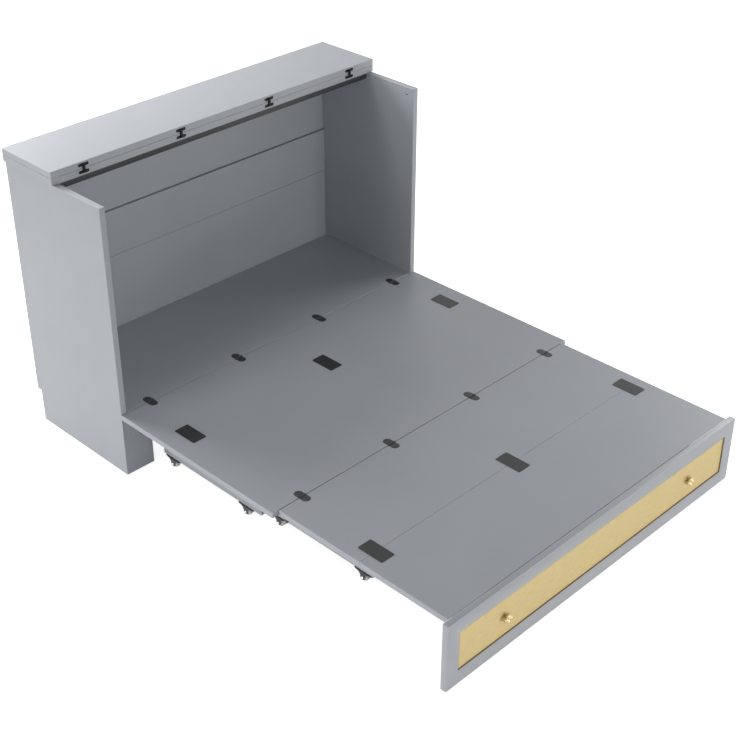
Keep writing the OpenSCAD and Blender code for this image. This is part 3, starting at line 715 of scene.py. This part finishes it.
middle_leaf = hinge_leaf("middle_leaf", True)
outer_leaf = hinge_leaf("outer_leaf", False)
for name, leaves, body, node in (
        ("head_hinges_cabinet_side", leaf_row(outer_leaf, head_seam_y, 0), "cabinet",
         "head_hinge_leaves"),
        ("deck_hinges_middle_leaf", leaf_row(middle_leaf, head_seam_y, math.pi)
         + leaf_row(outer_leaf, foot_seam_y, 0), "mid_leaf", "mid_hinge_leaves"),
        ("foot_hinges_foot_side", leaf_row(middle_leaf, foot_seam_y, math.pi), "foot_leaf",
         "foot_hinge_leaves")):
    flaps = unite(name, leaves)
    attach(flaps, body)
    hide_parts(node)
bpy.data.objects.remove(middle_leaf)
bpy.data.objects.remove(outer_leaf)


def bright_metal(name, colour, roughness, scratches=400.0, along=(1, 1, 1)):
    """Bare metal with fine scratches that run one way, so many in a metre."""
    finish, tree, shader, place = new_finish(name, roughness, metallic=1.0)
    lines = cloud(tree, place, scratches, detail=3.0, stretch=along)
    colour_between(tree, shader, ranged(tree, lines), tone(colour), tone(colour, scratch_shade))
    rough_between(tree, shader, lines, roughness - scratch_shines, roughness + scratch_dulls)
    raised(tree, shader, lines, scratch_depth)
    return finish


pin_finish = bright_metal("pin_steel", pin_steel, roughness=0.30, scratches=500.0,
                          along=(0.1, 1, 1))
coat(pin_finish, "head_hinge_pins", "foot_hinge_pins")

# Grip pads
# Thin black rubber pads glued to the deck, which keep the mattress from sliding. Each has a
# raised rim and a fine diamond tread.
pad_black = (38, 40, 40)
pad_dust = (50, 50, 49)
pad_shine = 0.40
pad_corner = 0.004
pad_ease = 0.00035
pad_rim = 0.0016
pad_sink = 0.0003
pad_wide = 0.055
pad_long = 0.100
tread_pitch = 0.0028
tread_depth = 0.00010
upright_least = 0.001
wave_base = 20


def ribs(tree, place, angle, pitch):
    """Straight waves across a flat piece, at an angle, with a given distance between them."""
    mapping = tree.nodes.new("ShaderNodeMapping")
    mapping.inputs["Rotation"].default_value = (0, 0, angle)
    tree.links.new(place.outputs["Object"], mapping.inputs["Vector"])
    wave = tree.nodes.new("ShaderNodeTexWave")
    wave.inputs["Scale"].default_value = 2 * math.pi / (wave_base * pitch)
    tree.links.new(mapping.outputs["Vector"], wave.inputs["Vector"])
    return wave.outputs["Fac"]


def pad_rubber():
    """Matt black rubber with a diamond tread and a little dust."""
    finish, tree, shader, place = new_finish("pad_rubber", roughness=0.36)
    shader.inputs["Specular IOR Level"].default_value = pad_shine
    tread = worked_out(tree, "MULTIPLY", ribs(tree, place, math.pi / 4, tread_pitch),
                       ribs(tree, place, -math.pi / 4, tread_pitch))
    dust = ranged(tree, cloud(tree, place, per_metre=90.0, detail=4.0), high=0.4)
    colour_between(tree, shader, dust, tone(pad_black), tone(pad_dust))
    raised(tree, shader, tread, tread_depth)
    return finish


def is_upright(one, two):
    """Whether an edge of a plate stands up through its thickness."""
    return abs(one.z - two.z) > upright_least


pad_finish = pad_rubber()
mid_pad_low, mid_pad_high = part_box("grip_pads_mid")
foot_pad_low, foot_pad_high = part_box("grip_pads_foot")
pad_out = mid_pad_high.x - pad_wide / 2

pad = add_block("pad", (-pad_wide / 2, -pad_long / 2, 0),
                (pad_wide / 2, pad_long / 2, mid_pad_high.z - mid_pad_low.z))
round_edges(pad, is_upright, pad_corner, segments=6)
with edit_mode():
    pick_faces(pad, lambda middle, normal: normal.z > facing)
    bpy.ops.mesh.inset(thickness=pad_rim)
    bpy.ops.mesh.inset(thickness=pad_sink)
    bpy.ops.transform.translate(value=(0, 0, -pad_sink))
cover(smooth(round_over(pad, pad_ease)), pad_finish)
for name, low, high, body, node in (
        ("grip_pads_on_middle_leaf", mid_pad_low, mid_pad_high, "mid_leaf", "grip_pads_mid"),
        ("grip_pads_on_foot_leaf", foot_pad_low, foot_pad_high, "foot_leaf",
         "grip_pads_foot")):
    pads = unite(name, [copy_to(pad, (x, (low.y + high.y) / 2, low.z))
                        for x in (-pad_out, 0, pad_out)])
    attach(pads, body)
    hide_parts(node)
bpy.data.objects.remove(pad)

# Lock bolts
# A barrel bolt on each side under the foot leaf. Its black housing is screwed to the board,
# and its zinc-plated bolt slides out into the side panel when the bed is folded away.
housing_black = (52, 55, 58)
plated_grey = (196, 198, 200)
housing_long = 0.050
housing_tall = 0.022
housing_wide = 0.016
housing_round = 0.0075
housing_plate = 0.034
housing_plate_round = 0.003
housing_foot = 0.002
waist_in = 0.014
waist_deep = 0.0012
bolt_radius = 0.003
bolt_play = 0.0001
bolt_ease = 0.0008
pull_radius = 0.007
pull_long = 0.006
pull_ease = 0.0010
groove_share = 0.24
groove_deep = 0.0010
housing_screw_in = 0.006
housing_screw_out = 0.0125
housing_screw_long = 0.012
sideways = 0.1

housing_enamel = black_enamel("housing_enamel", housing_black, roughness=0.36)
plated = bright_metal("zinc_plate", plated_grey, roughness=0.32, scratches=260.0)
housings_low, housings_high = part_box("bolt_housings")
bolt_low, bolt_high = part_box("lock_bolt_left")
_, bolt_y, bolt_z = middle_of("lock_bolt_left")
left_end = housings_low.x
left_start = left_end + housing_long
under_deck = housings_high.z


def cut_band(piece, start, end, deep, test):
    """Cuts a shallow band round a piece that lies along X, in the faces that pass the test."""
    with edit_mode():
        bpy.ops.mesh.select_all(action="SELECT")
        for x in (start, end):
            bpy.ops.mesh.bisect(plane_co=(x, 0, 0), plane_no=(1, 0, 0))
            bpy.ops.mesh.select_all(action="SELECT")
        pick_faces(piece, lambda middle, normal:
                   start < middle.x < end and abs(normal.x) < sideways and test(normal))
        bpy.ops.mesh.extrude_region_shrink_fatten(TRANSFORM_OT_shrink_fatten={"value": -deep})


plate = add_block("plate", (left_end, bolt_y - housing_plate / 2, under_deck - housing_foot),
                  (left_start, bolt_y + housing_plate / 2, under_deck))
round_over(round_edges(plate, is_upright, housing_plate_round, segments=4), fine_ease)
barrel = add_block("barrel", (left_end, bolt_y - housing_wide / 2, under_deck - housing_tall),
                   (left_start, bolt_y + housing_wide / 2, under_deck - housing_foot / 2))
round_edges(barrel, lambda one, two: abs(one.x - two.x) > over and one.z < bolt_z,
            housing_round, segments=8)
cut_band(barrel, left_end + waist_in, left_start - waist_in, waist_deep,
         lambda normal: normal.z < facing)
combine(barrel, plate, "UNION")
combine(barrel, add_rod("bore", (left_end - over, bolt_y, bolt_z),
                        (left_start + over, bolt_y, bolt_z), bolt_radius + bolt_play))
cover(barrel, housing_enamel)
housing_screws = copies_at(
    cross_screw("housing_screw", small_screw_radius, small_screw_deep, housing_screw_long, plated),
    [(x, bolt_y + side * housing_screw_out, under_deck - housing_foot - screw_sunk)
     for x in (left_end + housing_screw_in, left_start - housing_screw_in) for side in (-1, 1)],
    math.pi, "X")
left_housing = smooth(unite("housing", [barrel, *housing_screws]))
right_housing = copy_to(left_housing, (0, 2 * bolt_y, 0), math.pi)
housings = unite("lock_bolt_housings", [left_housing, right_housing])
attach(housings, "foot_leaf")
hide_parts("bolt_housings")

rod = add_rod("bolt", (bolt_low.x, bolt_y, bolt_z), (bolt_high.x, bolt_y, bolt_z), bolt_radius)
round_over(rod, bolt_ease, segments=3)
pull = add_rod("pull", (bolt_high.x - pull_long, bolt_y, bolt_z),
               (bolt_high.x, bolt_y, bolt_z), pull_radius, sides=40)
round_over(pull, pull_ease, segments=3)
pull_middle = bolt_high.x - pull_long / 2
groove_half = pull_long * groove_share / 2
cut_band(pull, pull_middle - groove_half, pull_middle + groove_half, groove_deep,
         lambda normal: True)
left_bolt = cover(smooth(unite("left_lock_bolt", [rod, pull])), plated)
right_bolt = copy_to(left_bolt, (0, 2 * bolt_y, 0), math.pi)
right_bolt.name = "right_lock_bolt"
for bolt, body, node in ((left_bolt, "bolt_left", "lock_bolt_left"),
                         (right_bolt, "bolt_right", "lock_bolt_right")):
    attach(bolt, body)
    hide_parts(node)

# Foot panel
# The frame of the foot panel, glued and lacquered as one face. A thin dark brown strip lines
# the step down to the cane: painted shade for the shadow in that reveal.
panel_ease = 0.0016
window_ease = 0.0008
# The strip in the reveal is painted shade: a dark brown lining where the step down to the cane
# lies in shadow.
shade_strip_brown = (140, 122, 92)
shade_strip_fade = 0.88
shade_strip_grain = 0.00003
shade_strip_thick = 0.0012
shade_strip_play = 0.0002
shade_strip_front_in = 0.0009
shade_strip_back_in = 0.0004

foot_lacquer = grey_lacquer("foot_panel_lacquer")
frame_low, frame_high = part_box("foot_panel_stiles")
window_low, window_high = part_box("cane_inset")
panel = add_block("foot_panel_frame", frame_low, frame_high)
round_over(panel, panel_ease, segments=3)
combine(panel, add_block("window", (window_low.x, frame_low.y - over, window_low.z),
                         (window_high.x, frame_high.y + over, window_high.z)))
round_edges(panel, lambda one, two: all(
    abs(end.y - frame_low.y) < same_place
    and window_low.x - same_place < end.x < window_high.x + same_place
    and window_low.z - same_place < end.z < window_high.z + same_place
    for end in (one, two)), window_ease, segments=2)
cover(smooth(panel), foot_lacquer)
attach(panel, "drawer")
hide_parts("foot_panel_rails", "foot_panel_stiles")


def shade_strip_finish():
    """Painted shade for the frame's reveal: dark brown, with a fine grain, faded unevenly."""
    finish, tree, shader, place = new_finish("reveal_painted_shade", roughness=0.70)
    faded = ranged(tree, cloud(tree, place, per_metre=260.0, detail=3.0))
    colour_between(tree, shader, faded, tone(shade_strip_brown), tone(shade_strip_brown, shade_strip_fade))
    raised(tree, shader, cloud(tree, place, per_metre=1400.0), shade_strip_grain)
    return finish


# The painted shade strip: a thin dark lining round the window's reveal.
shade_strip_front = frame_low.y + shade_strip_front_in
shade_strip_rear = window_low.y - shade_strip_back_in
shade_strip = add_block("cane_reveal_painted_shade",
                 (window_low.x + shade_strip_play, shade_strip_front, window_low.z + shade_strip_play),
                 (window_high.x - shade_strip_play, shade_strip_rear, window_high.z - shade_strip_play))
combine(shade_strip, add_block("window", (window_low.x + shade_strip_thick, shade_strip_front - over,
                                   window_low.z + shade_strip_thick),
                        (window_high.x - shade_strip_thick, shade_strip_rear + over,
                         window_high.z - shade_strip_thick)))
cover(smooth(shade_strip), shade_strip_finish())
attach(shade_strip, "drawer")

# Cane inset
# A panel of closely woven natural cane in the foot panel's frame, on a thin backing board.
# The strands pass over and under each other about every three millimetres.
# The hollows of the weave are painted darker, as painted shade.
cane_light = (247, 223, 163)
cane_dark = (235, 210, 146)
cane_aged = (239, 214, 152)
cane_gap_shade = (194, 165, 105)
aged_share = 0.35
gap_shade_share = 0.14
cane_sleek = 0.48
cane_dull = 0.62
strand_pitch = 0.0032
strand_height = 0.00022
strand_stretch = (30, 1, 320)


def woven_cane():
    """Fine plain weave of flat cane strands, a little lighter and darker from strand to strand,
    with painted shade in the weave's hollows.
    """
    finish, tree, shader, place = new_finish("woven_cane", roughness=0.55)
    split = tree.nodes.new("ShaderNodeSeparateXYZ")
    tree.links.new(place.outputs["Object"], split.inputs[0])
    across, up = (
        worked_out(tree, "SINE", worked_out(tree, "MULTIPLY", split.outputs[axis],
                                            math.pi / strand_pitch)) for axis in ("X", "Z"))
    over_under = worked_out(tree, "MULTIPLY", across, up)
    strands = cloud(tree, place, per_metre=1.0, detail=1.0, stretch=strand_stretch)
    warm = mixed(tree, ranged(tree, strands), tone(cane_light), tone(cane_dark))
    blotches = ranged(tree, cloud(tree, place, per_metre=14.0, detail=3.0), high=aged_share)
    aged = mixed(tree, blotches, warm, tone(cane_aged))
    # Painted shade: the weave's low places are coloured darker.
    gap_shade = ranged(tree, over_under, high=gap_shade_share, from_low=0.0, from_high=-1.0)
    colour_between(tree, shader, gap_shade, aged, tone(cane_gap_shade))
    rough_between(tree, shader, strands, cane_sleek, cane_dull)
    raised(tree, shader, ranged(tree, over_under, from_low=-1.0, from_high=1.0), strand_height)
    return finish


coat(woven_cane(), "cane_inset")
coat(foot_lacquer, "inset_backing")

# Knobs
# Two solid brass knobs with four rounded lobes on a slim neck, turned, polished and held by
# a screw from behind the backing.
brass_gold = (206, 187, 143)
brass_stain = (164, 141, 96)
brass_polished = 0.14
brass_dull = 0.28
brass_depth = 0.00001
knob_radius = 0.017
knob_reach = 0.022
lobe_radius = 0.00816
lobe_squeeze = (1.0, 0.86, 0.92)
squeezed_share = 0.2
base_radius = 0.009
base_thick = 0.003
base_rise_shares = (0.35, 0.8)
neck_radius = 0.005
knob_voxel = 0.0005


def polished_brass():
    """Polished brass, a little darker and duller where polish doesn't reach."""
    finish, tree, shader, place = new_finish("polished_brass", roughness=0.19, metallic=1.0)
    stain = ranged(tree, cloud(tree, place, per_metre=180.0, detail=4.0), 0.0, 0.55,
                   *noise_peaks)
    colour_between(tree, shader, stain, tone(brass_gold), tone(brass_stain))
    rough_between(tree, shader, cloud(tree, place, per_metre=300.0, detail=3.0), brass_polished,
                  brass_dull)
    raised(tree, shader, cloud(tree, place, per_metre=1500.0), brass_depth)
    return finish


knob_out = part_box("knobs")[1].x - knob_radius
knob_z = middle_of("knobs")[2]
knob = add_rod("knob", (0, 0, 0), (0, 0, base_thick), base_radius, sides=64)
with edit_mode():
    pick_faces(knob, lambda middle, normal: normal.z > facing)
    neck_foot = base_thick
    for share in base_rise_shares:
        bpy.ops.mesh.inset(thickness=(base_radius - neck_radius) / len(base_rise_shares))
        bpy.ops.transform.translate(value=(0, 0, base_thick * share))
        neck_foot += base_thick * share
    bpy.ops.mesh.extrude_region_move(TRANSFORM_OT_translate={
        "value": (0, 0, knob_reach - lobe_radius - neck_foot)})
for quarter in range(4):
    bpy.ops.object.select_all(action="DESELECT")
    bpy.ops.mesh.primitive_uv_sphere_add(segments=48, ring_count=24, radius=lobe_radius)
    lobe = bpy.context.object
    with edit_mode():
        pick_points(lobe, lambda point: point.x < -squeezed_share * lobe_radius)
        bpy.ops.transform.resize(value=lobe_squeeze, center_override=(0, 0, 0))
    lobe.data.transform(Matrix.Translation((0, 0, knob_reach - lobe_radius))
                        @ Matrix.Rotation(quarter * math.pi / 2, 4, "Z")
                        @ Matrix.Translation((knob_radius - lobe_radius, 0, 0)))
    combine(knob, lobe, "UNION")
take(knob)
knob.data.remesh_voxel_size = knob_voxel
bpy.ops.object.voxel_remesh()
soften = knob.modifiers.new("soften", "SMOOTH")
soften.factor = 0.5
soften.iterations = 3
bpy.ops.object.modifier_apply(modifier=soften.name)
bpy.ops.object.shade_smooth()
cover(knob, polished_brass())
knob_pair = unite("brass_knobs", copies_at(
    knob, [(x, window_low.y, knob_z) for x in (-knob_out, knob_out)], math.pi / 2, "X"))
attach(knob_pair, "drawer")
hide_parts("knobs")

# Drawer and rolling frames
# The boards behind the foot panel, and the two frames that roll out of the cabinet after
# it. They are cut from the same lacquered board as the rest.
frame_lacquer = grey_lacquer("frame_lacquer", shade=0.98)
coat(frame_lacquer, "drawer_sides", "drawer_back", "drawer_bottom", "middle_frame_sides",
     "middle_frame_back", "rear_frame_sides", "rear_frame_back")

# Tow lugs and stops
# Dark steel blocks at the ends of the frames' side boards, by which each frame pulls out
# the next. The lugs stand on the outside at the rear, the stops on the inside in front.
fitting_dark = (58, 60, 62)
fitting_ease = 0.0008
fitting_thick = 0.011
board_thick = 0.018

fitting_enamel = black_enamel("fitting_enamel", fitting_dark, roughness=0.42)
drawer_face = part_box("drawer_sides")[1].x
middle_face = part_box("middle_frame_sides")[1].x
rear_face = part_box("rear_frame_sides")[1].x
drawer_lug_low, drawer_lug_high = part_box("drawer_tow_lugs")
rear_stop_low, rear_stop_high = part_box("rear_frame_stops")
middle_low, middle_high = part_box("middle_frame_fittings")
lug_long = drawer_lug_high.y - drawer_lug_low.y
stop_long = rear_stop_high.y - rear_stop_low.y


def fitting_pair(near, y0, y1, z0, z1):
    """Two upright blocks, left and right, that start at a distance off the middle."""
    pair = []
    for side in (-1, 1):
        ends = sorted((side * near, side * (near + fitting_thick)))
        block = add_block("fitting", (ends[0], y0, z0), (ends[1], y1, z1))
        pair.append(cover(smooth(round_over(block, fitting_ease, segments=3)), fitting_enamel))
    return pair


def stop_pair(face, y0, y1, z0, z1):
    """Two stops on the inside of side boards with a given outer face."""
    return fitting_pair(face - board_thick - fitting_thick, y0, y1, z0, z1)


for name, body, node, blocks in (
        ("drawer_lug_blocks", "drawer", "drawer_tow_lugs",
         fitting_pair(drawer_face, drawer_lug_low.y, drawer_lug_high.y, drawer_lug_low.z,
                      drawer_lug_high.z)),
        ("middle_lug_and_stop_blocks", "middle_frame", "middle_frame_fittings",
         fitting_pair(middle_face, middle_high.y - lug_long, middle_high.y, middle_low.z,
                      middle_high.z)
         + stop_pair(middle_face, middle_low.y, middle_low.y + stop_long, middle_low.z,
                     middle_high.z)),
        ("rear_stop_blocks", "rear_frame", "rear_frame_stops",
         stop_pair(rear_face, rear_stop_low.y, rear_stop_high.y, rear_stop_low.z,
                   rear_stop_high.z))):
    blocks = unite(name, blocks)
    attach(blocks, body)
    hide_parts(node)

# Casters
# Fixed casters screwed under the frames' boards: a pressed fork of black steel with hollowed
# sides, a pale nylon wheel and an axle with a bright cap at either end.
fork_black = (46, 48, 50)
cap_nickel = (252, 252, 252)
caster_tall = 0.038
fork_plate = 0.003
plate_wide = 0.025
plate_long = 0.081
plate_corner = 0.009
cheek_thick = 0.0025
fork_ease = 0.0006
lobe_round = 0.009
hollow_share = 0.98
wheel_round = 0.016
axle_round = 0.003
fork_play = 0.0001
cap_round = 0.0046
cap_thick = 0.002
cap_dome_share = 0.6
washer_round = 0.0060
washer_thick = 0.0006
fork_screw_out = 0.032
fork_screw_long = 0.013
fork_screw_sunk = 0.0004

fork_enamel = black_enamel("fork_enamel", fork_black, roughness=0.30)
cap_finish = bright_metal("cap_nickel", cap_nickel, roughness=0.16)


def caster_fork():
    """One fork with its plate, axle, caps and screws, over the point that the wheel stands on."""
    rise = caster_tall - fork_plate - wheel_round
    spread = lobe_round + rise
    half = plate_wide / 2
    fork = add_block("fork", (-half, -plate_long / 2, caster_tall - fork_plate),
                     (half, plate_long / 2, caster_tall))
    round_over(round_edges(fork, is_upright, plate_corner, segments=8), fork_ease)
    for x in (-half, half - cheek_thick):
        cheek = add_block("cheek", (x, -spread, wheel_round),
                          (x + cheek_thick, spread, caster_tall - fork_plate / 2))
        for side in (-1, 1):
            combine(cheek, add_rod("hollow", (x - over, side * spread, wheel_round),
                                   (x + cheek_thick + over, side * spread, wheel_round),
                                   rise * hollow_share, sides=96))
        combine(cheek, add_rod("lobe", (x, 0, wheel_round), (x + cheek_thick, 0, wheel_round),
                               lobe_round, sides=64), "UNION")
        combine(fork, round_over(cheek, fork_ease), "UNION")
    combine(fork, add_rod("axle_hole", (-half - over, 0, wheel_round),
                          (half + over, 0, wheel_round), axle_round + fork_play))
    axle = add_rod("axle", (-half, 0, wheel_round), (half, 0, wheel_round), axle_round)
    parts = [cover(smooth(fork), fork_enamel), cover(smooth(axle), plated)]
    for side in (-1, 1):
        washer = add_rod("washer", (side * half, 0, wheel_round),
                         (side * (half + washer_thick), 0, wheel_round), washer_round, sides=40)
        parts.append(cover(smooth(round_over(washer, hair_ease)), fork_enamel))
        cap = add_rod("cap", (side * half, 0, wheel_round),
                      (side * (half + cap_thick), 0, wheel_round), cap_round, sides=40)
        round_edges(cap, lambda one, two: min(abs(one.x), abs(two.x)) > half + cap_thick / 2,
                    cap_thick * cap_dome_share, segments=5)
        parts.append(cover(smooth(cap), cap_finish))
    screw = cross_screw("fork_screw", screw_radius, screw_deep, fork_screw_long, plated)
    screw_z = caster_tall - fork_plate - fork_screw_sunk
    parts += copies_at(screw, [(0, side * fork_screw_out, screw_z) for side in (-1, 1)],
                       math.pi, "X")
    return unite("one_fork", parts)


one_fork = caster_fork()
for group, body, node in (("drawer", "drawer", "drawer_caster_forks"),
                          ("middle", "middle_frame", "middle_caster_forks"),
                          ("rear", "rear_frame", "rear_caster_forks")):
    wheels = [middle_of(f"{group}_wheel_{number}") for number in range(1, 5)]
    forks = unite(f"{group}_forks_pressed", [copy_to(one_fork, (x, y, 0)) for x, y, _ in wheels])
    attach(forks, body)
    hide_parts(node)
bpy.data.objects.remove(one_fork)

# Caster wheels
# Moulded nylon wheels with a crowned tread, a web sunk at both sides and a hub round the
# axle. Each turns by itself.
nylon_pale = (252, 252, 252)
nylon_shade = 0.95
nylon_depth = 0.00002
wheel_wide = 0.016
wheel_play = 0.00006
tread_round = 0.0022
rim_wide = 0.0026
rim_slope = 0.0006
squarely = 0.99
web_sink = 0.0028
hub_round = 0.0062
hub_slope = 0.0005
hub_rise_share = 0.9


def pale_nylon():
    """Pale moulded nylon, a little cloudy."""
    finish, tree, shader, place = new_finish("wheel_nylon", roughness=0.18)
    clouds = ranged(tree, cloud(tree, place, per_metre=120.0, detail=3.0))
    colour_between(tree, shader, clouds, tone(nylon_pale), tone(nylon_pale, nylon_shade))
    raised(tree, shader, cloud(tree, place, per_metre=800.0), nylon_depth)
    return finish


def moulded_wheel():
    """One wheel about the X axis at the origin."""
    half = wheel_wide / 2
    web_outer = wheel_round - tread_round - rim_wide - rim_slope
    wheel = add_rod("wheel", (-half, 0, 0), (half, 0, 0), wheel_round, sides=72)
    round_edges(wheel, lambda one, two: abs(one.x - two.x) < same_place, tread_round,
                segments=4)
    with edit_mode():
        for side in (-1, 1):
            pick_faces(wheel, lambda middle, normal: side * normal.x > squarely)
            bpy.ops.mesh.inset(thickness=rim_wide)
            bpy.ops.mesh.inset(thickness=rim_slope)
            bpy.ops.transform.translate(value=(-side * web_sink, 0, 0))
            bpy.ops.mesh.inset(thickness=web_outer - hub_round)
            bpy.ops.mesh.inset(thickness=hub_slope)
            bpy.ops.transform.translate(value=(side * web_sink * hub_rise_share, 0, 0))
    combine(wheel, add_rod("bore", (-half - over, 0, 0), (half + over, 0, 0),
                           axle_round + wheel_play))
    return cover(smooth(wheel, angle=30), pale_nylon())


one_wheel = moulded_wheel()
for group in ("drawer", "middle", "rear"):
    for number in range(1, 5):
        node = f"{group}_wheel_{number}"
        wheel = copy_to(one_wheel, middle_of(node))
        wheel.name = f"nylon_{node}"
        wheel.data.name = wheel.name
        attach(wheel, node)
        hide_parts(node)
bpy.data.objects.remove(one_wheel)
